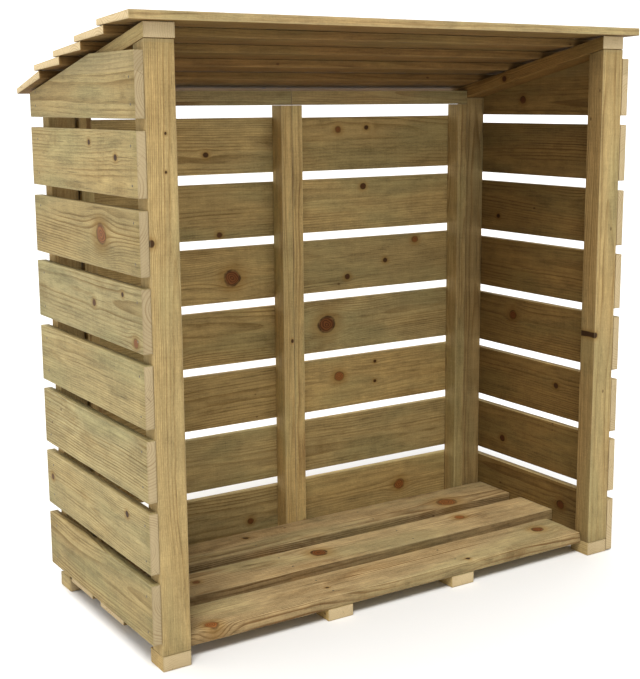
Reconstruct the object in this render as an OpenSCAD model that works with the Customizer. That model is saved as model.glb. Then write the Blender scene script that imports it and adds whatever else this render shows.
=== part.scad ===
// Open-fronted log store: slatted sides and back, slatted floor and a lean-to roof of lapped boards.
// +X runs to the right, +Y towards the back, +Z up. The origin is on the ground, under the middle.

/* [Overall] */
// Width over the outer faces of the corner posts
store_w = 1160; // [800:10:1800]
// Depth from the front faces of the posts to the rear ends of the side boards
store_d = 530; // [450:5:900]
// Height of the top of the rafters at the front
front_h = 1200; // [900:5:1800]
// Slope of the roof, falling to the back
roof_pitch = 12; // [4:0.5:18]

/* [Posts] */
// Width of each corner post
post_w = 60; // [45:1:90]
// Depth of each front post
front_post_d = 45; // [38:1:55]
// Depth of each rear post
rear_post_d = 34; // [25:1:38]
// Height of the blocks that the posts stand on
foot_h = 31; // [20:1:60]
// Depth of each foot block
foot_d = 57; // [57:1:90]

/* [Rafters] */
// Width of each rafter, a little more than its posts
rafter_w = 62; // [50:1:90]
// Thickness of each rafter, measured square to the slope
rafter_t = 28; // [20:1:60]

/* [Side boards] */
// Boards on each side
side_boards = 8; // [5:1:10]
// Thickness of the side and back boards
board_t = 19; // [12:1:30]
// Gap between two side or back boards
board_gap = 20.6; // [8:0.2:40]
// Height of the lowest left board above the ground
left_board_z = 57; // [20:1:90]
// Height of the lowest right board above the ground
right_board_z = 2; // [1:1:90]
// Distance of the side boards' level top edge below the top of the rafters
side_drop = 48; // [30:1:90]
// Clearance between the side boards' sloping edge and the roof
roof_clearance = 5; // [2:0.5:15]

/* [Back panels] */
// Boards on each back panel
back_boards = 7; // [4:1:9]
// Width of each upright in a back panel
stile_w = 28; // [20:1:50]
// Depth of each upright and rail in a back panel
stile_d = 44; // [38:1:70]
// Height of a back panel's top rail
rail_h = 33; // [20:1:60]
// Gap between a top rail and the highest back board
rail_gap = 28; // [8:1:40]
// Height of the back panels' lower edge above the ground
panel_z = 12; // [5:1:60]

/* [Floor] */
// Width of a floor board
floor_board_w = 120; // [90:1:130]
// Thickness of a floor board
floor_board_t = 27; // [18:1:45]
// Distance of the floor's front edge behind the post faces
floor_setback = 23; // [0:1:40]
// Width of each bearer under the floor
bearer_w = 62; // [40:1:90]
// Height of each bearer
bearer_h = 26; // [20:1:60]
// Distance between the centre lines of the bearers
bearer_spacing = 325; // [240:5:600]

/* [Roof] */
// Number of lapped roof boards
roof_boards = 5; // [4:1:6]
// Length by which each roof board lies over the next, measured down the slope
roof_lap = 28.8; // [20:0.2:50]
// Thickness of a roof board at its front edge
roof_front_t = 17; // [12:0.5:22]
// Thickness of a roof board at its rear edge
roof_rear_t = 12; // [8:0.5:12]
// Overhang of the roof in front of the posts
roof_front = 16; // [0:1:40]
// Overhang of the roof behind the side boards
roof_rear = 38; // [0:1:90]
// Overhang of the roof at each side, past the posts
roof_side = 33; // [20:1:90]

/* [Fits] */
// Clearance where one timber lies on another
seat_gap = 0.2; // [0.1:0.1:1]
// Clearance between timbers that stand close side by side
side_gap = 0.5; // [0.2:0.1:3]

/* [Hidden] */

// Planes from front to back. The roof's own depth is centred on the origin.
roof_run = roof_front + store_d + roof_rear;
front_y = -roof_run / 2 + roof_front;
back_y = front_y + store_d;
back_board_y = back_y - board_t;
stile_y = back_board_y - stile_d;

// Planes across the store
half_w = store_w / 2;
bay_half_w = half_w - post_w;
panel_w = half_w - max(post_w, rafter_w) - 1.5 * side_gap;
roof_w = store_w + 2 * roof_side;

// Heights. The rafters' top edge is the roof line, and the rails stay under it.
function roof_line(y) = front_h - (y - front_y) * tan(roof_pitch);
rafter_h = rafter_t / cos(roof_pitch);
side_top = front_h - side_drop;
rail_z = roof_line(back_board_y) - roof_clearance - rail_h;
floor_z = bearer_h;

// Board widths that fill a height evenly
function fill_w(low, high, count) = (high - low - (count - 1) * board_gap) / count;
left_board_w = fill_w(left_board_z, side_top, side_boards);
right_board_w = fill_w(right_board_z, side_top, side_boards);
back_board_w = fill_w(panel_z, rail_z - rail_gap, back_boards);

// Floor boards share the depth between the setback and the back panels
floor_depth = stile_y - side_gap - front_y - floor_setback;
floor_pitch = (floor_depth - floor_board_w) / 2;

// Roof boards. Each one is tipped up at the back to lie over the next, and the last lies flat.
// They are wide enough to share the slope and lap.
last_edge = roof_rear_t * sin(roof_pitch);
slope_run = (roof_run - last_edge) / cos(roof_pitch);
roof_board_w = (slope_run + (roof_boards - 1) * roof_lap) / roof_boards;
lap_run = (roof_board_w - roof_lap) * cos(roof_pitch);
function lead(i) = i == 1 ? roof_front : 0;
function seat_y(i) = (i - 1) * lap_run - roof_run / 2 + lead(i);
function lift(i) = i == roof_boards ? 0
    : asin((roof_front_t + seat_gap) * cos(roof_pitch) / (lap_run - lead(i)));

timber = "#b09a6c";
pale_timber = "#c2ac7c";
shaded_timber = "#85693f";

// A shape drawn in the plane of a side wall, extruded across the store from x
module across(x, thickness) {
    translate([x, 0, 0]) rotate([90, 0, 90]) linear_extrude(thickness) children();
}

// Everything up to a line that lies a distance under the roof line
module under_roof(drop) {
    low_y = -roof_run;
    high_y = roof_run;
    polygon([
        [low_y, 0],
        [high_y, 0],
        [high_y, roof_line(high_y) - drop],
        [low_y, roof_line(low_y) - drop]
    ]);
}

// Left edge of a piece of the given width whose outer face is a distance inside a side's post face
function side_x(side, width, inset = 0) = side < 0 ? inset - half_w : half_w - inset - width;

module foot(side, y) {
    color(pale_timber)
        translate([side_x(side, post_w), y, 0]) cube([post_w, foot_d, foot_h]);
}

module post(side, y, depth) {
    color(pale_timber)
        across(side_x(side, post_w), post_w)
            intersection() {
                translate([y, foot_h]) square([depth, front_h]);
                under_roof(rafter_h + seat_gap);
            }
}

module rafter(side) {
    color(pale_timber)
        across(side_x(side, rafter_w), rafter_w)
            polygon([
                [front_y, roof_line(front_y) - rafter_h],
                [back_y, roof_line(back_y) - rafter_h],
                [back_y, roof_line(back_y)],
                [front_y, roof_line(front_y)]
            ]);
}

module side_board(side, low_z, width, i) {
    color(timber)
        across(side_x(side, board_t, -board_t), board_t)
            intersection() {
                translate([front_y, low_z + (i - 1) * (width + board_gap)]) square([store_d, width]);
                under_roof(roof_clearance);
            }
}

module left_side_board(i) {
    side_board(-1, left_board_z, left_board_w, i);
}

module right_side_board(i) {
    side_board(1, right_board_z, right_board_w, i);
}

// Left end of a back panel, or of a piece of it that starts further along
function panel_x(side) = side < 0 ? -side_gap / 2 - panel_w : side_gap / 2;

module top_rail(side) {
    color(shaded_timber)
        translate([panel_x(side), stile_y, rail_z]) cube([panel_w, stile_d, rail_h]);
}

module stile(side, at_post) {
    along = (side < 0) == at_post ? 0 : panel_w - stile_w;
    color(shaded_timber)
        translate([panel_x(side) + along, stile_y, panel_z]) cube([stile_w, stile_d, rail_z - panel_z]);
}

module back_panel_boards(side) {
    color(timber)
        for (i = [1:back_boards])
            translate([panel_x(side), back_board_y, panel_z + (i - 1) * (back_board_w + board_gap)])
                cube([panel_w, board_t, back_board_w]);
}

module floor_board(i, half_length) {
    length = 2 * (half_length - side_gap);
    color(timber)
        translate([-length / 2, front_y + floor_setback + (i - 1) * floor_pitch, floor_z])
            cube([length, floor_board_w, floor_board_t]);
}

module bearer(side) {
    color(pale_timber)
        translate([(side * bearer_spacing - bearer_w) / 2, front_y + floor_setback, 0])
            cube([bearer_w, floor_depth, bearer_h]);
}

module roof_board(i) {
    slope = roof_pitch - lift(i);
    reach = lead(i) / cos(slope);
    color(timber)
        across(-roof_w / 2, roof_w)
            translate([seat_y(i), roof_line(seat_y(i)) + seat_gap]) rotate(-slope) translate([-reach, 0])
                polygon([
                    [0, 0],
                    [roof_board_w, 0],
                    [roof_board_w, roof_rear_t],
                    [0, roof_front_t]
                ]);
}

foot(-1, front_y);  // left_front_foot
foot(-1, back_y - foot_d);  // left_rear_foot
foot(1, front_y);  // right_front_foot
foot(1, back_y - foot_d);  // right_rear_foot

post(-1, front_y, front_post_d);  // left_front_post
post(-1, back_board_y - rear_post_d, rear_post_d);  // left_rear_post
post(1, front_y, front_post_d);  // right_front_post
post(1, back_board_y - rear_post_d, rear_post_d);  // right_rear_post

rafter(-1);  // left_rafter
rafter(1);  // right_rafter

for (i = [1:side_boards]) {
    left_side_board(i);
    right_side_board(i);
}

top_rail(-1);  // back_left_top_rail
stile(-1, true);  // back_left_outer_stile
stile(-1, false);  // back_left_inner_stile
back_panel_boards(-1);  // back_left_boards
top_rail(1);  // back_right_top_rail
stile(1, true);  // back_right_outer_stile
stile(1, false);  // back_right_inner_stile
back_panel_boards(1);  // back_right_boards

floor_board(1, bay_half_w);  // floor_board_front
floor_board(2, half_w);  // floor_board_middle
floor_board(3, half_w);  // floor_board_rear

bearer(-1);  // left_bearer
bearer(1);  // right_bearer

for (i = [1:roof_boards])
    roof_board(i);
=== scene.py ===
import math
import random

import bpy
import numpy as np
from mathutils import Matrix, Vector, noise


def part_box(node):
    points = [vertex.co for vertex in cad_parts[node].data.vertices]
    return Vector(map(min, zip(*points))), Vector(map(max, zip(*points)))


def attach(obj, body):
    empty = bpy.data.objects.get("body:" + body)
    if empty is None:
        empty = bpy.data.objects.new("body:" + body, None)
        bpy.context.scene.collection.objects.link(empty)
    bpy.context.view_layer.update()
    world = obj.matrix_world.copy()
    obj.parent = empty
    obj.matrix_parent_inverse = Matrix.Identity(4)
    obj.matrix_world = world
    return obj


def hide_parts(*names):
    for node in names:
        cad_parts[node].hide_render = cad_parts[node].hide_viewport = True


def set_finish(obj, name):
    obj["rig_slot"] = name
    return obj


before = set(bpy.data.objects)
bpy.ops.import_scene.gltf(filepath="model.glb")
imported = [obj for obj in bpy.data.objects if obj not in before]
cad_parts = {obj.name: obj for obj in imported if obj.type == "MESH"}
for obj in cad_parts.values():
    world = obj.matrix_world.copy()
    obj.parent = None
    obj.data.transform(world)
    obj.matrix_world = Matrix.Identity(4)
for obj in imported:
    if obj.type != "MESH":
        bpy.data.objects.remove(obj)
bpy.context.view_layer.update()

MM = 0.001
SIDE_BOARDS = 8
ROOF_BOARDS = 5

# Mesh of a timber, in metres
STEP_ALONG = 0.022
STEP_ACROSS = 0.014
WANE_LINES = (3 * MM, 5 * MM, 8 * MM, 11 * MM, 14 * MM)  # extra mesh lines beside a waney arris

# Relief of a sawn face, in millimetres: broad waves, fine roughness, and how far it all lies inside the CAD face
RELIEF_BROAD = 0.16
RELIEF_FINE = 0.10
RELIEF_INSET = 0.26
ARRIS_VARIES = 0.45  # share by which an arris's radius changes along the timber

KNOTS_EACH = 4  # knots that the material can draw on one timber
FAR = 9000.0  # a knot this many millimetres away shows nowhere
PLANES_LEVEL = 1e-4  # two heights closer than this are the same plane
NO_LENGTH = 1e-9


# ---------------------------------------------------------------- shapes of the timbers

class Block:
    """A timber's CAD shape: x runs straight, and a quadrilateral of (y, z) corners is its end view."""

    def __init__(self, node, z_range=None):
        co = np.array([v.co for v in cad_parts[node].data.vertices]).round(6)
        if z_range:
            co = co[(co[:, 2] > z_range[0]) & (co[:, 2] < z_range[1])]
        self.x = (co[:, 0].min(), co[:, 0].max())
        view = sorted({(y, z) for _, y, z in co})
        front, rear = sorted(view[:2], key=lambda p: p[1]), sorted(view[-2:], key=lambda p: p[1])
        self.quad = np.array([front, rear])
        self.knee = view[2:-2]  # the corner where a level top turns into the roof's slope, if there is one
        middle = self.quad.mean(1)
        run = middle[1] - middle[0]
        run = run / np.linalg.norm(run)
        if np.ptp(self.quad[:, 0, 1]) < PLANES_LEVEL:
            run = np.array([1.0, 0.0])
        self.ey = np.array([0.0, run[0], run[1]])
        self.ez = np.array([0.0, -run[1], run[0]])
        self.centre = np.array([sum(self.x) / 2, *self.quad.reshape(-1, 2).mean(0)])
        deep = np.linalg.norm(middle[1] - middle[0]) / 2
        high = np.linalg.norm(self.quad[:, 1] - self.quad[:, 0], axis=1).mean() / 2
        self.half = np.array([(self.x[1] - self.x[0]) / 2, deep, high])

    def place(self, local):
        """Local metric coordinates in the box of half sizes, to the CAD shape."""
        s = (local / self.half + 1) / 2
        a, b = s[:, 1:2], s[:, 2:3]
        low = self.quad[0, 0] * (1 - a) + self.quad[1, 0] * a
        top = self.quad[0, 1] * (1 - a) + self.quad[1, 1] * a
        if self.knee:
            knee_y, knee_z = self.knee[0]
            y = low[:, 0]
            level = self.quad[0, 1, 1]
            slope = (self.quad[1, 1, 1] - knee_z) / (self.quad[1, 1, 0] - knee_y)
            top = np.stack([y, np.minimum(level, knee_z + (y - knee_y) * slope)], 1)
        yz = low * (1 - b) + top * b
        x = self.x[0] * (1 - s[:, :1]) + self.x[1] * s[:, :1]
        return np.hstack([x, yz])

    def grain(self, points, order):
        """The timber's own coordinates in millimetres: along the grain, across the face, through."""
        d = points - self.centre
        own = np.stack([d[:, 0], d @ self.ey, d @ self.ez], 1) / MM
        return own[:, ["xyz".index(c) for c in order]]


def stations(half, radius, step):
    """Grid lines along one axis, close together at both arrises and evenly spaced between."""
    inner = half - radius
    count = max(1, round(2 * inner / step))
    edge = [half, half - radius * 0.5]
    line = list(np.linspace(-inner, inner, count + 1))
    return np.array([-e for e in edge] + line + edge[::-1])


def grid_box(axes):
    """Points, faces and each face's axis for the surface of a box cut by the grid lines of three axes."""
    n = [len(a) for a in axes]
    index, points, faces, sides = {}, [], [], []

    def corner(i, j, k):
        key = (i, j, k)
        if key not in index:
            index[key] = len(points)
            points.append((axes[0][i], axes[1][j], axes[2][k]))
        return index[key]

    for axis in range(3):
        u, v = [a for a in range(3) if a != axis]
        for end in (0, n[axis] - 1):
            for p in range(n[u] - 1):
                for q in range(n[v] - 1):
                    ring = []
                    for du, dv in ((0, 0), (1, 0), (1, 1), (0, 1)):
                        key = [0, 0, 0]
                        key[axis], key[u], key[v] = end, p + du, q + dv
                        ring.append(corner(*key))
                    flip = (end == 0) != (axis == 1)
                    faces.append(ring[::-1] if flip else ring)
                    sides.append(axis)
    return np.array(points), faces, np.array(sides)


def wane(local, half, spread):
    """Radius of the upper front arris where bark once was, deep in some stretches and slight in others."""
    x = local[:, 0] / half[0]
    depth = 0.30 + 0.45 * np.sin(3.1 * x + 0.6) ** 2 + 0.25 * np.sin(7.3 * x + 2.0) ** 2
    return spread * depth


def timber(name, node, order, slot, seed, radius=1.6, z_range=None, knots=(), tone=(1, 0.5, 1),
           spacing=4.2, waney=0.0, sag=(0.0, 0.0), trim=0.0, sheltered=()):
    """One detailed timber that stands for a CAD node, or for one slat of it. Sizes are in millimetres.

    order is the axes along the grain, across the face and through. radius is the arris's, and waney is the
    depth of the rounding on the upper front one. Knots are (share of the length, share of the width, radius).
    tone is (brightness, warmth, contrast of the grain), and spacing is the width of a growth ring. sag is how far
    the timber lies off its CAD height at its middle, and how much more at its end. trim shortens it. sheltered
    lists the (axis, sign, strength) of the faces whose colour the material darkens and browns as painted shade,
    standing for the shade inside the store, under the roof and between boards."""
    rng = random.Random(seed)
    block = Block(node, z_range)
    half = block.half
    length_axis = "xyz".index(order[0])
    radius = radius * MM
    axes = []
    for k in range(3):
        step = STEP_ALONG if k == length_axis else STEP_ACROSS
        axes.append(stations(half[k], min(radius, half[k] * 0.4), step))
    if waney:
        behind, below = -half[1] + np.array(WANE_LINES), half[2] - np.array(WANE_LINES[:-1])
        axes[1] = np.unique(np.concatenate([axes[1], behind]).round(6))
        axes[2] = np.unique(np.concatenate([axes[2], below]).round(6))
    local, faces, sides = grid_box(axes)

    shift = Vector((rng.uniform(0, 90), rng.uniform(0, 90), rng.uniform(0, 90)))
    along = local[:, length_axis] / MM
    ripple = np.array([noise.noise(Vector((a * 0.02, 0.3 * s, 0)) + shift)
                       for a, s in zip(along, np.sign(local[:, (length_axis + 1) % 3]))])
    r = np.minimum(radius * (1 + ARRIS_VARIES * ripple), half.min() * 0.8)
    if waney:
        upper_front = (local[:, 1] < 0) & (local[:, 2] > 0)
        r = np.where(upper_front, np.maximum(r, wane(local, half, waney * MM)), r)
    inner = np.clip(local, -half + r[:, None], half - r[:, None])
    out = local - inner
    size = np.linalg.norm(out, axis=1)
    normal = out / np.maximum(size, NO_LENGTH)[:, None]
    local = np.where(size[:, None] > NO_LENGTH, inner + normal * r[:, None], local)

    # A sawn face is never quite flat. The relief only goes inwards.
    relief = np.array([RELIEF_BROAD * noise.noise(Vector(p) * 9 + shift)
                       + RELIEF_FINE * noise.noise(Vector(p) * 42 + shift) for p in local])
    local = local - normal * (RELIEF_INSET + relief)[:, None] * MM
    local[:, length_axis] *= 1 - trim * MM / half[length_axis]

    points = block.place(local)
    share = local[:, length_axis] / half[length_axis]
    points[:, 2] += (sag[0] + sag[1] * share) * MM
    grain = block.grain(points, order)

    mesh = bpy.data.meshes.new(name)
    mesh.from_pydata(points.tolist(), [], faces)
    mesh.polygons.foreach_set("use_smooth", [True] * len(faces))
    size_mm = half[["xyz".index(c) for c in order]] / MM

    def attribute(key, values):
        made = mesh.attributes.new(key, "FLOAT_VECTOR", "POINT")
        made.data.foreach_set("vector", np.broadcast_to(values, (len(points), 3)).astype(np.float32).ravel())

    pith_through = rng.choice((-1, 1)) * rng.uniform(18, 55)
    pith_across = rng.uniform(-0.8, 0.8) * size_mm[1]
    attribute("grain", grain)
    attribute("half", size_mm)
    attribute("pith", (pith_across, pith_through, spacing * rng.uniform(0.85, 1.2)))
    attribute("seed", (rng.uniform(0, 900), rng.uniform(0, 900), rng.uniform(0, 900)))
    attribute("tone", tone)
    for k in range(KNOTS_EACH):
        spot = (FAR, FAR, 1.0)
        if k < len(knots):
            a, b, knot_r = knots[k]
            spot = ((2 * a - 1) * size_mm[0], (2 * b - 1) * size_mm[1], knot_r)
        attribute(f"knot_{k + 1}", spot)
    end = mesh.attributes.new("end", "FLOAT", "FACE")
    end.data.foreach_set("value", (sides == length_axis).astype(np.float32))
    # Painted shade: the faces listed in sheltered get a share by which the material darkens their colour, standing
    # for the shade inside the store, under the roof and between boards.
    shelter = mesh.attributes.new("shelter", "FLOAT", "FACE")
    inside = np.zeros(len(faces))
    middles = np.array([local[ring].mean(0) for ring in faces])
    for letter, sign, strength in sheltered:
        axis = "xyz".index(letter)
        inside[(sides == axis) & (middles[:, axis] * sign > 0)] = strength
    shelter.data.foreach_set("value", inside.astype(np.float32))

    piece = bpy.data.objects.new(name, mesh)
    bpy.context.scene.collection.objects.link(piece)
    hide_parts(node)
    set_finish(piece, slot)
    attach(piece, "root")
    return piece


# ---------------------------------------------------------------- shader helpers

def linear(red, green, blue):
    """A colour given as 0 to 255 display values, as the shader wants it."""
    def one(c):
        c = c / 255
        return c / 12.92 if c <= 0.04045 else ((c + 0.055) / 1.055) ** 2.4
    return (one(red), one(green), one(blue), 1.0)


class Tree:
    """Short forms for the shader nodes that the materials use."""

    def __init__(self, tree):
        self.tree = tree

    def node(self, kind, inputs=(), **settings):
        made = self.tree.nodes.new(kind)
        for key, value in settings.items():
            setattr(made, key, value)
        for key, value in dict(inputs).items():
            self.set(made.inputs[key], value)
        return made

    def set(self, socket, value):
        if isinstance(value, bpy.types.NodeSocket):
            self.tree.links.new(value, socket)
        else:
            socket.default_value = value

    def math(self, operation, *values, clamp=False):
        made = self.node("ShaderNodeMath", operation=operation, use_clamp=clamp)
        for socket, value in zip(made.inputs, values):
            self.set(socket, value)
        return made.outputs[0]

    def vector(self, operation, *values):
        made = self.node("ShaderNodeVectorMath", operation=operation)
        for socket, value in zip(made.inputs, values):
            self.set(socket, value)
        return made.outputs["Vector"]

    def swing(self, texture, reach):
        """A 0 to 1 texture as a signed amount, up to half of reach either way."""
        return self.math("MULTIPLY", self.math("SUBTRACT", texture, 0.5), reach)

    def scaled(self, value, factor, plus):
        """A value times a factor, plus a number."""
        return self.math("ADD", plus, self.math("MULTIPLY", value, factor))

    def split(self, value):
        return self.node("ShaderNodeSeparateXYZ", {"Vector": value}).outputs

    def join(self, x, y, z):
        return self.node("ShaderNodeCombineXYZ", {"X": x, "Y": y, "Z": z}).outputs[0]

    def noise(self, place, scale=1.0, detail=2.0, roughness=0.5, distortion=0.0):
        return self.node("ShaderNodeTexNoise", {"Vector": place, "Scale": scale, "Detail": detail,
                                                "Roughness": roughness, "Distortion": distortion}).outputs[0]

    def step(self, value, low, high, start=0.0, end=1.0):
        return self.node("ShaderNodeMapRange", {"Value": value, "From Min": low, "From Max": high, "To Min": start,
                                                "To Max": end}, interpolation_type="SMOOTHSTEP").outputs[0]

    def mix(self, share, a, b):
        made = self.node("ShaderNodeMix", data_type="RGBA")
        self.set(made.inputs["Factor"], share)
        self.set([s for s in made.inputs if s.name == "A" and s.type == "RGBA"][0], a)
        self.set([s for s in made.inputs if s.name == "B" and s.type == "RGBA"][0], b)
        return [s for s in made.outputs if s.type == "RGBA"][0]

    def scale_colour(self, colour, factor):
        return self.vector("SCALE", colour, (0, 0, 0), (0, 0, 0), factor)

    def attribute(self, name):
        return self.node("ShaderNodeAttribute", attribute_name=name)


def knot_group():
    """How far a point is from one knot in knot radii, how far the knot pushes the grain aside there in
    millimetres, and whether the knot is a small dead one, which is nearly black."""
    group = bpy.data.node_groups.new("knot", "ShaderNodeTree")
    sockets = group.interface
    sockets.new_socket("Grain", in_out="INPUT", socket_type="NodeSocketVector")
    sockets.new_socket("Knot", in_out="INPUT", socket_type="NodeSocketVector")
    sockets.new_socket("Distance", in_out="OUTPUT", socket_type="NodeSocketFloat")
    sockets.new_socket("Push", in_out="OUTPUT", socket_type="NodeSocketFloat")
    sockets.new_socket("Dead", in_out="OUTPUT", socket_type="NodeSocketFloat")
    t = Tree(group)
    given = t.node("NodeGroupInput").outputs
    gx, gy, _ = t.split(given["Grain"])
    kx, ky, kr = t.split(given["Knot"])
    dx = t.math("DIVIDE", t.math("SUBTRACT", gx, kx), kr)
    dy_mm = t.math("SUBTRACT", gy, ky)
    dy = t.math("DIVIDE", dy_mm, kr)

    def squares(along, across):
        return t.math("ADD", t.math("POWER", t.math("MULTIPLY", dx, along), 2.0),
                      t.math("POWER", t.math("MULTIPLY", dy, across), 2.0))

    near = t.math("SQRT", squares(0.86, 1.0))
    falloff = t.math("EXPONENT", t.math("MULTIPLY", squares(0.36, 0.55), -1.0))
    push = t.math("MULTIPLY", dy_mm, falloff)
    out = t.node("NodeGroupOutput")
    t.set(out.inputs["Distance"], near)
    t.set(out.inputs["Push"], push)
    t.set(out.inputs["Dead"], t.math("MULTIPLY", t.step(kr, 9.0, 6.0), t.step(near, 1.5, 1.0)))
    return group


def softwood(name, pale, warm, late, rough=0.74, dirt=1.0):
    """Sawn, pressure-treated softwood as solid wood: growth rings round a pith, so faces, edges and end grain
    agree, with knots that push the rings aside, fibres, saw marks, fine checks, pale end grain and worn
    arrises. pale, warm and late are the colours of the greenish early wood, the orange early wood and the late
    wood. Lengths in the node tree are in millimetres."""
    material = bpy.data.materials.new(name)
    material.use_nodes = True
    tree = material.node_tree
    tree.nodes.clear()
    t = Tree(tree)
    grain = t.attribute("grain").outputs["Vector"]
    half = t.attribute("half").outputs["Vector"]
    pith_y, pith_z, spacing = t.split(t.attribute("pith").outputs["Vector"])
    seed = t.attribute("seed").outputs["Vector"]
    value, warmth, contrast = t.split(t.attribute("tone").outputs["Vector"])
    end = t.attribute("end").outputs["Fac"]
    gx, gy, gz = t.split(grain)

    def at(x, y, z):
        """The grain coordinates scaled by axis, in a part of the noise that is this timber's own."""
        return t.vector("ADD", t.vector("MULTIPLY", grain, (x, y, z)), seed)

    # Knots
    nearest, push, dead = None, None, None
    for k in range(KNOTS_EACH):
        group = t.node("ShaderNodeGroup", node_tree=KNOT)
        t.set(group.inputs["Grain"], grain)
        t.set(group.inputs["Knot"], t.attribute(f"knot_{k + 1}").outputs["Vector"])
        d, p = group.outputs["Distance"], group.outputs["Push"]
        nearest = d if nearest is None else t.math("MINIMUM", nearest, d)
        push = p if push is None else t.math("ADD", push, p)
        small = group.outputs["Dead"]
        dead = small if dead is None else t.math("MAXIMUM", dead, small)
    ragged = t.swing(t.noise(at(0.030, 0.045, 0.03), detail=1.0), 0.46)
    knot_d = t.math("ADD", nearest, ragged)
    core = t.step(knot_d, 1.02, 0.70)
    rim_share = t.step(t.noise(at(0.06, 0.09, 0.05), detail=2.0), 0.36, 0.62)
    rim = t.math("MULTIPLY", t.step(knot_d, 0.66, 0.90), t.step(knot_d, 1.14, 0.94))
    rim = t.math("MULTIPLY", rim, t.scaled(rim_share, 0.65, 0.35))
    halo = t.step(knot_d, 3.0, 0.8)
    wavy = t.math("ADD", t.math("MULTIPLY", knot_d, 21.0), t.math("MULTIPLY", ragged, 30.0))
    knot_rings = t.math("MULTIPLY", t.math("ADD", t.math("SINE", wavy), 1.0), 0.5)

    # Growth rings
    drift = t.swing(t.noise(at(0.0016, 0.0, 0.0), detail=1.0), 46.0)
    sway = t.swing(t.noise(at(0.006, 0.012, 0.012), detail=2.0), 4.5)
    ry = t.math("SUBTRACT", t.math("SUBTRACT", gy, push), t.math("ADD", pith_y, drift))
    rz = t.math("ADD", t.math("SUBTRACT", gz, pith_z), t.math("MULTIPLY", drift, 0.25))
    ring_r = t.math("ADD", t.math("SQRT", t.math("ADD", t.math("POWER", ry, 2.0), t.math("POWER", rz, 2.0))), sway)
    ring = t.math("ADD", t.math("DIVIDE", ring_r, spacing), t.math("MULTIPLY", gx, 0.0012))
    uneven = t.noise(t.join(t.math("MULTIPLY", ring, 0.30), 0.0, warmth), detail=1.0)
    ring = t.math("ADD", ring, t.math("MULTIPLY", uneven, 1.4))
    phase = t.math("FRACT", ring)
    latewood = t.math("MULTIPLY", t.step(phase, 0.42, 0.93), t.step(phase, 1.0, 0.94))
    year = t.noise(t.join(t.math("FLOOR", ring), value, 0.0), scale=1.7, detail=0.0)
    latewood = t.math("MULTIPLY", latewood, t.scaled(year, 0.9, 0.30))
    faint = t.step(t.noise(at(0.0035, 0.016, 0.016), detail=2.0), 0.34, 0.66)
    latewood = t.math("MULTIPLY", latewood, t.scaled(faint, 0.80, 0.35))

    # Fibres, raised nap, blotches, smears of stain, grime, scratches, saw marks, checks and pin marks
    fibre = t.noise(at(0.030, 0.80, 0.80), detail=4.0, roughness=0.66)
    nap = t.noise(at(0.22, 0.55, 0.55), detail=3.0, roughness=0.7)
    streak = t.noise(at(0.0042, 0.10, 0.10), detail=3.0, roughness=0.6)
    blotch = t.noise(at(0.0045, 0.012, 0.012), detail=3.0, roughness=0.55)
    tint = t.noise(at(0.0028, 0.010, 0.010), detail=2.0, roughness=0.5)
    skew = t.math("ADD", gx, t.math("MULTIPLY", gy, 0.06))
    cloud = t.noise(at(0.010, 0.028, 0.028), detail=4.0, roughness=0.6, distortion=0.6)
    curl = t.noise(at(0.055, 0.014, 0.014), detail=2.0, distortion=0.8)
    smear = t.step(t.noise(at(0.0065, 0.020, 0.020), detail=4.0, roughness=0.62, distortion=0.5), 0.52, 0.74)
    grime = t.step(t.noise(at(0.018, 0.075, 0.075), detail=4.0, roughness=0.68), 0.56, 0.74)
    scratch = t.step(t.noise(at(0.011, 0.62, 0.62), detail=2.0, roughness=0.5), 0.66, 0.72)
    saw = t.noise(t.vector("ADD", t.join(t.math("MULTIPLY", skew, 0.55), t.math("MULTIPLY", gy, 0.012), 0.0), seed),
                  detail=1.0)
    crack = t.step(t.noise(at(0.0060, 0.34, 0.34), detail=2.0, roughness=0.55), 0.695, 0.735)
    speck = t.node("ShaderNodeTexVoronoi", {"Vector": at(0.016, 0.024, 0.024), "Scale": 1.0}, feature="F1")
    lucky = t.math("GREATER_THAN", t.split(speck.outputs["Color"])[0], 0.83)
    pin = t.math("MULTIPLY", t.step(speck.outputs["Distance"], 0.085, 0.045), lucky)

    # Arrises: the second smallest distance to the timber's planes is small only along an edge.
    room = t.split(t.vector("SUBTRACT", half, t.vector("ABSOLUTE", grain)))
    least = t.math("MINIMUM", room[0], room[1])
    most = t.math("MAXIMUM", room[0], room[1])
    to_edge = t.math("MAXIMUM", least, t.math("MINIMUM", most, room[2]))
    edge_wobble = t.math("MULTIPLY", t.noise(at(0.05, 0.4, 0.4), detail=2.0), 3.2)
    arris = t.step(t.math("SUBTRACT", to_edge, edge_wobble), 1.6, -0.8)
    soaked = t.step(t.math("ADD", room[0], t.math("MULTIPLY", blotch, -46.0)), 14.0, -26.0)

    # Colour of the faces
    base = t.mix(t.step(t.math("ADD", t.math("MULTIPLY", warmth, 0.7), t.math("MULTIPLY", tint, 0.6)), 0.25, 1.0),
                 linear(*pale), linear(*warm))
    base = t.mix(t.math("MULTIPLY", t.step(tint, 0.52, 0.36), 0.30), base, linear(150, 146, 98))
    base = t.mix(t.math("MULTIPLY", smear, 0.46 * dirt), base, linear(*late))
    grain_share = t.math("MULTIPLY", t.math("MULTIPLY", latewood, 0.78), contrast, clamp=True)
    colour = t.mix(grain_share, base, linear(*late))
    light = t.scaled(streak, 0.70, 0.66)
    for texture, reach in ((blotch, 0.42), (fibre, 1.10), (nap, 0.75), (saw, 0.18), (cloud, 0.85 * dirt),
                           (curl, 0.16)):
        light = t.math("ADD", light, t.swing(texture, reach))
    colour = t.scale_colour(colour, light)
    for mark, strength, stain in ((grime, 0.30 * dirt, (96, 78, 48)), (scratch, 0.36 * dirt, (92, 70, 40)),
                                  (t.math("POWER", halo, 1.5), 0.55, (150, 112, 52))):
        colour = t.mix(t.math("MULTIPLY", mark, strength), colour, linear(*stain))

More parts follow.
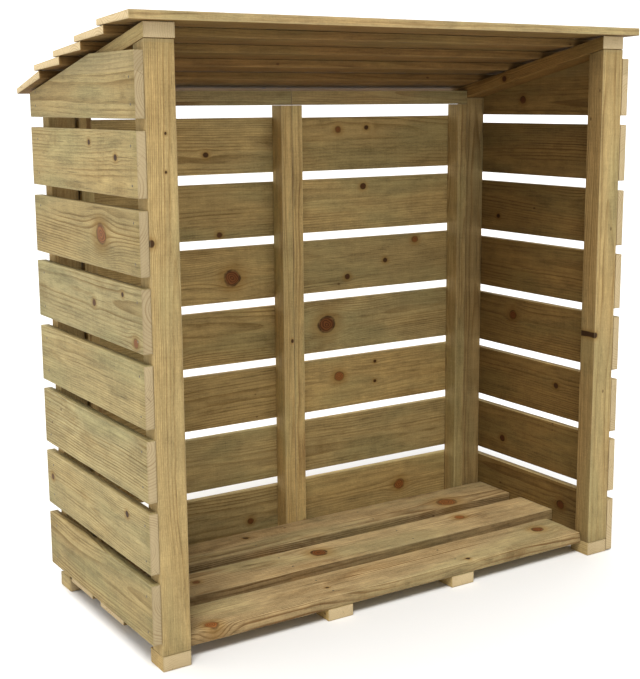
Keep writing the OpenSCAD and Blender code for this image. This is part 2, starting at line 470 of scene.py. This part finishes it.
    # Knots, from live and pale to dead and dark
    kind = t.step(t.noise(at(0.004, 0.007, 0.007), detail=0.0), 0.35, 0.65)
    heart = t.mix(knot_rings, linear(150, 90, 42), linear(96, 54, 24))
    heart = t.scale_colour(heart, t.scaled(kind, 0.46, 0.74))
    colour = t.mix(t.math("MULTIPLY", core, t.scaled(kind, -0.10, 0.97)), colour, heart)
    colour = t.mix(t.math("MULTIPLY", rim, t.scaled(kind, -0.40, 0.90)), colour, linear(60, 37, 21))
    for mark, strength, stain in ((t.math("MULTIPLY", core, dead), 0.85, (54, 39, 20)), (pin, 0.62, (84, 52, 30)),
                                  (crack, 0.55, (58, 42, 26)), (arris, 0.20, (196, 180, 140)),
                                  (soaked, 0.16, (122, 112, 72))):
        colour = t.mix(t.math("MULTIPLY", mark, strength), colour, linear(*stain))

    # End grain: the same rings, paler and crisper, with short radial checks
    spoke = t.math("ARCTAN2", rz, ry)
    polar = t.join(t.math("MULTIPLY", spoke, 26.0), t.math("MULTIPLY", ring_r, 0.02), 0.0)
    split = t.step(t.noise(t.vector("ADD", polar, seed), detail=1.0), 0.70, 0.76)
    pores = t.noise(at(0.5, 0.9, 0.9), detail=3.0, roughness=0.7)
    end_colour = t.mix(t.math("MULTIPLY", latewood, 0.62), linear(212, 190, 148), linear(164, 134, 90))
    end_colour = t.scale_colour(end_colour, t.scaled(pores, 0.56, 0.70))
    end_colour = t.mix(t.math("MULTIPLY", split, 0.45), end_colour, linear(96, 74, 46))
    end_colour = t.mix(t.math("MULTIPLY", t.step(to_edge, 4.0, 0.0), 0.30), end_colour, linear(128, 112, 72))
    colour = t.mix(end, colour, end_colour)
    colour = t.scale_colour(colour, value)
    # Painted shade: the shelter share darkens and browns a face's colour, standing for the shade that falls inside
    # the store, under the roof and between boards.
    shelter = t.attribute("shelter").outputs["Fac"]
    colour = t.mix(shelter, colour, t.vector("MULTIPLY", colour, (0.46, 0.365, 0.25)))

    # Roughness and relief
    shine = t.math("ADD", rough, t.swing(fibre, 0.22))
    shine = t.math("SUBTRACT", shine, t.math("MULTIPLY", core, 0.16))
    shine = t.math("ADD", shine, t.math("MULTIPLY", end, 0.10), clamp=True)
    height = t.math("MULTIPLY", latewood, 0.34)
    for texture, rise in ((fibre, 0.62), (nap, 0.50), (saw, 0.60), (crack, -1.4), (core, 0.30), (rim, -0.35),
                          (t.math("MULTIPLY", end, pores), 0.8)):
        height = t.math("ADD", height, t.math("MULTIPLY", texture, rise))
    bump = t.node("ShaderNodeBump", {"Height": height, "Strength": 0.75, "Distance": 0.0005})

    surface = t.node("ShaderNodeBsdfPrincipled", {"Base Color": colour, "Roughness": shine,
                                                  "Specular IOR Level": 0.14, "Normal": bump.outputs[0]})
    output = t.node("ShaderNodeOutputMaterial")
    tree.links.new(surface.outputs[0], output.inputs["Surface"])
    return material


def zinc():
    """Dull galvanised steel for the nail heads, with white bloom and a little brown."""
    material = bpy.data.materials.new("galvanised")
    material.use_nodes = True
    t = Tree(material.node_tree)
    surface = material.node_tree.nodes["Principled BSDF"]
    place = t.node("ShaderNodeTexCoord").outputs["Object"]
    bloom = t.noise(place, scale=420.0, detail=3.0)
    colour = t.mix(t.step(bloom, 0.35, 0.65), linear(84, 76, 60), linear(122, 114, 96))
    colour = t.mix(t.step(t.noise(place, scale=190.0), 0.60, 0.70), colour, linear(110, 78, 50))
    t.set(surface.inputs["Base Color"], colour)
    t.set(surface.inputs["Roughness"], t.scaled(bloom, 0.25, 0.42))
    surface.inputs["Metallic"].default_value = 0.75
    return material


KNOT = knot_group()
WOODS = {
    "board_timber": softwood("sawn_cladding", (180, 166, 120), (182, 156, 102), (130, 104, 60)),
    "post_timber": softwood("sawn_posts", (196, 176, 126), (198, 166, 108), (146, 114, 66), dirt=0.6),
    "frame_timber": softwood("planed_frames", (168, 148, 102), (168, 141, 90), (120, 90, 52), rough=0.66,
                             dirt=0.7),
    "floor_timber": softwood("sawn_floor", (188, 168, 126), (182, 150, 102), (124, 94, 56), dirt=1.3),
    "roof_timber": softwood("sawn_roof", (178, 158, 114), (176, 146, 98), (124, 98, 60)),
}

# ---------------------------------------------------------------- the timbers

# Knots: (share of the length from the front, left or bottom, share of the width from the low side, radius)
LEFT_KNOTS = {
    7: [(0.41, 0.80, 5), (0.18, 0.59, 6)],
    6: [(0.33, 0.53, 20)],
    5: [(0.16, 0.84, 5), (0.42, 0.56, 7), (0.06, 0.14, 9)],
    2: [(0.94, 0.55, 7), (0.19, 0.78, 6)],
}
RIGHT_KNOTS = {
    8: [(0.62, 0.40, 9)],
    6: [(0.17, 0.70, 9), (0.78, 0.30, 6)],
    4: [(0.66, 0.66, 12)],
    3: [(0.35, 0.60, 7)],
    2: [(0.72, 0.35, 8)],
    1: [(0.30, 0.55, 11)],
}
BACK_LEFT_KNOTS = {
    7: [(0.61, 0.36, 6), (0.16, 0.6, 9)],
    6: [(0.67, 0.08, 7)],
    5: [(0.73, 0.44, 19), (0.24, 0.7, 4)],
    4: [(0.41, 0.49, 16)],
    2: [(0.20, 0.30, 9)],
    1: [(0.80, 0.38, 8)],
}
BACK_RIGHT_KNOTS = {
    7: [(0.30, 0.76, 8), (0.46, 0.79, 6)],
    6: [(0.44, 0.83, 7)],
    5: [(0.75, 0.88, 9), (0.57, 0.52, 6), (0.35, 0.26, 7)],
    4: [(0.23, 0.53, 21)],
    3: [(0.30, 0.63, 12), (0.51, 0.83, 4), (0.51, 0.43, 4)],
    1: [(0.66, 0.50, 14)],
}
FLOOR_KNOTS = {
    "front": [(0.93, 0.60, 14), (0.06, 0.14, 13), (0.34, 0.40, 4), (0.68, 0.12, 5)],
    "middle": [(0.44, 0.58, 18), (0.80, 0.69, 12), (0.17, 0.55, 8)],
    "rear": [(0.84, 0.26, 24), (0.36, 0.70, 6)],
}
POST_KNOTS = {
    ("left", "front"): [(0.69, 0.06, 6), (0.86, 0.62, 2.5), (0.80, 0.60, 2.5)],
    ("right", "front"): [(0.44, 0.04, 6)],
}

tones = random.Random(41)


def some_tone(value=1.0, warm=0.5, contrast=1.0, spread=0.06):
    """A timber's own tone near the given one. The draws come from one stream, so their order matters."""
    return (value * tones.uniform(1 - spread, 1 + spread), warm + tones.uniform(-0.25, 0.25),
            contrast * tones.uniform(0.75, 1.25))


def stray_knots(rng, most):
    """Small knots for a timber whose own can't be seen in the photo."""
    return [(rng.uniform(0.05, 0.95), rng.uniform(0.12, 0.88), rng.uniform(4, 11))
            for _ in range(rng.randint(0, most))]


made = []


def add(*args, **kwargs):
    made.append(timber(*args, **kwargs))


# sheltered lists the faces that get painted shade: a darker, browner colour standing for the shade inside the
# store, under the roof and between boards.
# The number after a timber's slot is its random seed.
for k in range(1, SIDE_BOARDS + 1):
    add(f"left_cladding_{k}", f"left_side_board_{k}", "yzx", "board_timber", 200 + k,
        sag=(tones.uniform(-0.7, 0.7), tones.uniform(-0.6, 0.6)), tone=some_tone(0.72, 0.30, 1.1),
        trim=tones.uniform(0, 0.6), knots=LEFT_KNOTS.get(k, ()), spacing=5.0)
    near_ground = k == 1  # with no room to sag
    add(f"right_cladding_{k}", f"right_side_board_{k}", "yzx", "board_timber", 300 + k,
        sag=(0, 0) if near_ground else (tones.uniform(-0.7, 0.7), tones.uniform(-0.6, 0.6)),
        tone=some_tone(0.86, 0.7), trim=tones.uniform(0, 0.6), knots=RIGHT_KNOTS.get(k, ()), spacing=5.0,
        sheltered=[("x", -1, 0.92)])

# The boards of a back panel are one CAD node, so each slat is built from its own part of the node's height.
for side, knots in (("left", BACK_LEFT_KNOTS), ("right", BACK_RIGHT_KNOTS)):
    node = f"back_{side}_boards"
    heights = sorted({round(v.co.z, 4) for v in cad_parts[node].data.vertices})
    for k in range(len(heights) // 2):
        low, high = heights[2 * k] - MM, heights[2 * k + 1] + MM
        add(f"back_{side}_slat_{k + 1}", node, "xzy", "board_timber", (400 if side == "left" else 500) + k,
            z_range=(low, high), knots=knots.get(k + 1, ()), tone=some_tone(1.12, 0.70, 1.1, spread=0.12),
            sheltered=[("y", -1, 0.26)], sag=(tones.uniform(-0.6, 0.6), tones.uniform(-0.5, 0.5)), spacing=4.6)
    add(f"{side}_panel_rail", f"back_{side}_top_rail", "xzy", "frame_timber", 610 + len(side),
        tone=some_tone(0.76), spacing=3.4, sheltered=[("z", -1, 0.8)])
    for where in ("outer", "inner"):
        at_seam = [(0.47, 0.82, 4)] if (side, where) == ("left", "inner") else []
        add(f"{side}_panel_{where}_stile", f"back_{side}_{where}_stile", "zxy", "frame_timber",
            630 + len(side) + len(where) * (2 if where == "outer" else 3),
            tone=some_tone(1.40 if where == "inner" else 1.08), knots=at_seam, spacing=3.4)

for side in ("left", "right"):
    inward = 1 if side == "left" else -1
    for where in ("front", "rear"):
        add(f"{side}_{where}_leg", f"{side}_{where}_post", "zxy", "post_timber", 700 + len(side) * 3 + len(where),
            radius=2.2, knots=POST_KNOTS.get((side, where), ()), spacing=3.6,
            tone=some_tone(0.77 if where == "front" else 0.74, 0.6, 0.9, 0.03),
            sheltered=[("x", inward, 0.6), ("y", -1, 0.0 if where == "front" else 0.3)])
        add(f"{side}_{where}_block", f"{side}_{where}_foot", "yxz", "post_timber", 740 + len(side) * 3 + len(where),
            radius=2.0, tone=some_tone(0.86, 0.5, 1.0, 0.04), spacing=3.2)
    add(f"{side}_roof_bearer", f"{side}_rafter", "yzx", "post_timber", 780 + len(side), radius=1.8,
        tone=some_tone(0.88, 0.5), spacing=3.4, knots=[(0.62, 0.4, 7)] if side == "right" else [],
        sheltered=[("x", inward, 1.0), ("z", -1, 1.0)])
    add(f"{side}_floor_bearer", f"{side}_bearer", "yxz", "post_timber", 790 + len(side), radius=1.8,
        tone=some_tone(1.0, 0.9 if side == "left" else 0.3), spacing=3.2)

add("front_floor_plank", "floor_board_front", "xyz", "floor_timber", 801, radius=2.4, knots=FLOOR_KNOTS["front"],
    tone=some_tone(0.92, 0.45, 1.3), waney=13.0, spacing=4.4, sheltered=[("y", -1, 0.40)])
add("middle_floor_plank", "floor_board_middle", "xyz", "floor_timber", 802, radius=2.2, knots=FLOOR_KNOTS["middle"],
    tone=some_tone(0.88, 0.45, 1.3), spacing=4.4, sheltered=[("y", -1, 0.5)])
add("rear_floor_plank", "floor_board_rear", "xyz", "floor_timber", 803, radius=2.2, knots=FLOOR_KNOTS["rear"],
    tone=some_tone(0.80, 0.4, 1.3), spacing=4.4, sheltered=[("y", -1, 0.4)])

for k in range(1, ROOF_BOARDS + 1):
    add(f"roof_plank_{k}", f"roof_board_{k}", "xyz", "roof_timber", 900 + k, radius=1.6,
        knots=stray_knots(random.Random(950 + k), 3), tone=some_tone(0.94, 0.5), spacing=4.8,
        sheltered=[("z", -1, 1.15)] + ([("y", -1, 1.2)] if k > 1 else []))

for piece in made:
    piece.data.materials.append(WOODS[piece["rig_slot"]])


# ---------------------------------------------------------------- nail heads

NAIL_SIDES = 14
NAIL_RADIUS = 2.6 * MM
NAIL_PROFILE = ((1.0, -0.9), (1.0, -0.05), (0.9, 0.22), (0.45, 0.34))  # (share of the radius, height in mm)
NAIL_TOP = 0.36 * MM
NAIL_INSET = 0.3 * MM  # the sawn face lies this far inside the CAD plane


def nails(name, slot, spots):
    """Clout nail heads at (point, outward normal), one mesh for one face of the store."""
    rng = random.Random(len(spots))
    points, faces = [], []
    sides = NAIL_SIDES
    for where, out in spots:
        turn = Vector(out).to_track_quat("Z", "Y").to_matrix()
        lean = Matrix.Rotation(rng.uniform(0, math.tau), 3, "Z") @ Matrix.Rotation(rng.uniform(0, 0.05), 3, "X")
        start = len(points)
        for share, rise in NAIL_PROFILE:
            for s in range(sides):
                a = math.tau * s / sides
                p = Vector((math.cos(a) * NAIL_RADIUS * share, math.sin(a) * NAIL_RADIUS * share, rise * MM))
                points.append(Vector(where) + turn @ (lean @ p))
        points.append(Vector(where) + turn @ (lean @ Vector((0, 0, NAIL_TOP))))
        for ring in range(len(NAIL_PROFILE) - 1):
            for s in range(sides):
                n = (s + 1) % sides
                a, b = start + ring * sides, start + (ring + 1) * sides
                faces.append((a + s, a + n, b + n, b + s))
        last, tip = start + (len(NAIL_PROFILE) - 1) * sides, len(points) - 1
        for s in range(sides):
            faces.append((last + s, last + (s + 1) % sides, tip))
        faces.append(tuple(start + s for s in reversed(range(sides))))
    mesh = bpy.data.meshes.new(name)
    mesh.from_pydata([tuple(p) for p in points], [], faces)
    mesh.polygons.foreach_set("use_smooth", [True] * len(faces))
    piece = bpy.data.objects.new(name, mesh)
    bpy.context.scene.collection.objects.link(piece)
    mesh.materials.append(ZINC)
    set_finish(piece, slot)
    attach(piece, "root")


ZINC = zinc()
SIDE_NAIL = 24 * MM  # distance of a nail from a board's edge, on the sides, the back and the floor
BACK_NAIL = 26 * MM
FLOOR_NAIL = 28 * MM
TOP_BOARD_FRONT = 96 * MM  # height that the highest side board has for nails, at the front and the rear post
TOP_BOARD_REAR = 74 * MM
jitter = random.Random(7)


def near(value):
    """A place within three millimetres, as hand nailing gives."""
    return value + jitter.uniform(-3.0, 3.0) * MM


def side_nails(side):
    sign = -1 if side == "left" else 1
    front = sum(c.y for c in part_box(f"{side}_front_post")) / 2
    rear = sum(c.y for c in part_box(f"{side}_rear_post")) / 2
    spots = []
    for k in range(1, SIDE_BOARDS + 1):
        low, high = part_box(f"{side}_side_board_{k}")
        face = (high.x - NAIL_INSET) if sign > 0 else (low.x + NAIL_INSET)
        for y, top_board in ((front, TOP_BOARD_FRONT), (rear, TOP_BOARD_REAR)):
            top = high.z if k < SIDE_BOARDS else low.z + top_board
            for z in (low.z + SIDE_NAIL, top - SIDE_NAIL):
                spots.append(((face, near(y), near(z)), (sign, 0, 0)))
    return spots


def back_nails():
    spots = []
    for side in ("left", "right"):
        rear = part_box(f"back_{side}_boards")[1].y
        heights = sorted({round(v.co.z, 4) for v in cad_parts[f"back_{side}_boards"].data.vertices})
        for where in ("outer", "inner"):
            a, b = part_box(f"back_{side}_{where}_stile")
            for k in range(len(heights) // 2):
                for z in (heights[2 * k] + BACK_NAIL, heights[2 * k + 1] - BACK_NAIL):
                    spots.append(((near((a.x + b.x) / 2), rear - NAIL_INSET, near(z)), (0, 1, 0)))
    return spots


def floor_nails():
    spots = []
    for name in ("front", "middle", "rear"):
        low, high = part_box(f"floor_board_{name}")
        for side in ("left", "right"):
            a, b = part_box(f"{side}_bearer")
            for y in (low.y + FLOOR_NAIL, high.y - FLOOR_NAIL):
                spots.append(((near((a.x + b.x) / 2), near(y), high.z - NAIL_INSET), (0, 0, 1)))
    return spots


def roof_nails():
    spots = []
    for k in range(1, ROOF_BOARDS + 1):
        block = Block(f"roof_board_{k}")
        out = Vector((0.0, block.ez[1], block.ez[2]))
        for side in ("left", "right"):
            a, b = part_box(f"{side}_rafter")
            for share in (0.30, 0.80):
                y, z = block.quad[0, 1] * (1 - share) + block.quad[1, 1] * share
                spots.append(((near((a.x + b.x) / 2), y, z - NAIL_INSET), out))
    return spots


nails("left_wall_nails", "board_timber", side_nails("left"))
nails("right_wall_nails", "board_timber", side_nails("right"))
nails("back_wall_nails", "board_timber", back_nails())
nails("floor_nails", "floor_timber", floor_nails())
nails("roof_nails", "roof_timber", roof_nails())

# ---------------------------------------------------------------- stage, light and camera

FLOOR_REACH = 40.0  # metres
floor_mesh = bpy.data.meshes.new("studio_floor")
corners = [(x * FLOOR_REACH, y * FLOOR_REACH, 0) for x, y in ((-1, -1), (1, -1), (1, 1), (-1, 1))]
floor_mesh.from_pydata(corners, [], [(0, 1, 2, 3)])
studio_floor = bpy.data.objects.new("studio_floor", floor_mesh)
bpy.context.scene.collection.objects.link(studio_floor)
paint = bpy.data.materials.new("studio_white")
paint.use_nodes = True
for socket, value in (("Base Color", (0.88, 0.88, 0.88, 1)), ("Roughness", 0.9), ("Specular IOR Level", 0.1)):
    paint.node_tree.nodes["Principled BSDF"].inputs[socket].default_value = value
floor_mesh.materials.append(paint)

# The backdrop behind the store is bright and the room in front of it is dimmer.
DIM, BRIGHT = 0.32, 1.40
world = bpy.data.worlds.new("studio")
bpy.context.scene.world = world
world.use_nodes = True
sky = Tree(world.node_tree)
across, ahead, _ = sky.split(sky.node("ShaderNodeTexCoord").outputs["Generated"])
backdrop = sky.step(sky.math("ADD", ahead, sky.math("MULTIPLY", across, -0.15)), -0.35, 0.25, DIM, BRIGHT)
sky.set(world.node_tree.nodes["Background"].inputs["Strength"], backdrop)
world.node_tree.nodes["Background"].inputs["Color"].default_value = (1.0, 0.998, 0.992, 1)

key = bpy.data.lights.new("key", "SUN")
key.energy = 2.7
key.angle = math.radians(24)
key.color = (1.0, 0.985, 0.95)
key_light = bpy.data.objects.new("key", key)
key_light.rotation_mode = "QUATERNION"
key_light.rotation_quaternion = Vector((0.30, 0.42, -0.86)).to_track_quat("-Z", "Y")
bpy.context.scene.collection.objects.link(key_light)

# The photo's viewpoint
eye = Vector((-1.499, -2.288, 1.060))
yaw, pitch, roll = 0.5759, -0.1806, -0.0059  # radians, yaw from +Y towards +X
forward = Vector((math.sin(yaw) * math.cos(pitch), math.cos(yaw) * math.cos(pitch), math.sin(pitch)))
level = Vector((math.cos(yaw), -math.sin(yaw), 0))
upright = level.cross(forward)
right = level * math.cos(roll) + upright * math.sin(roll)
up = upright * math.cos(roll) - level * math.sin(roll)
lens = bpy.data.cameras.new("camera")
lens.sensor_width = 36
lens.lens = 65.7
lens.shift_x, lens.shift_y = -0.0198, -0.0165
camera = bpy.data.objects.new("camera", lens)
camera.matrix_world = Matrix.Translation(eye) @ Matrix((right, up, -forward)).transposed().to_4x4()
bpy.context.scene.collection.objects.link(camera)
bpy.context.scene.camera = camera
bpy.context.scene.view_settings.view_transform = "Standard"
